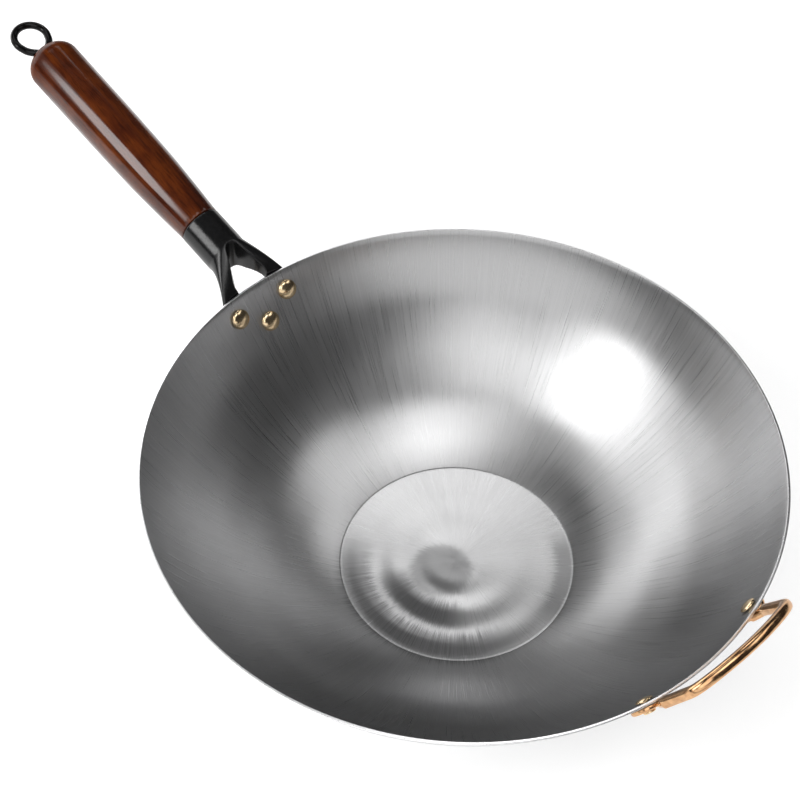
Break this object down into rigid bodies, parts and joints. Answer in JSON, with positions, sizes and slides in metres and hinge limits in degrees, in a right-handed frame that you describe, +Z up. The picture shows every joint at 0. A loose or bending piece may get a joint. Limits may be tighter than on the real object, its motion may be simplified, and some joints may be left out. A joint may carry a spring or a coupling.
{
  "type": "wok",
  "caption": "Flat-based stainless steel wok with a long wood-gripped handle on a black cast fork and a small rose-gold helper handle, all riveted on.",
  "frame": {"origin": "centre of the flat base's underside, on the bowl's axis", "axes": "+Z up out of the open bowl, +X along the long handle, the helper handle at -X"},
  "size_m": [0.5716, 0.3398, 0.1718],
  "materials": {
    "bowl_steel": "brushed radially inside",
    "black_iron": "satin black enamel",
    "grip_wood": "glossy red-brown lacquer",
    "rose_gold": "polished rose gold",
    "rivet_gold": "polished pale gold",
    "black_wire": "gloss black"
  },
  "bodies": {
    "root": {"bowl": "bowl_steel", "handle_bracket": "black_iron", "handle_grip": "grip_wood", "eye_rod": "black_wire", "bracket_rivet_left": "rivet_gold", "bracket_rivet_right": "rivet_gold", "bracket_rivet_lower": "rivet_gold", "helper_handle": "rose_gold", "helper_rivet_left": "rivet_gold", "helper_rivet_right": "rivet_gold"}
  },
  "joints": []
}
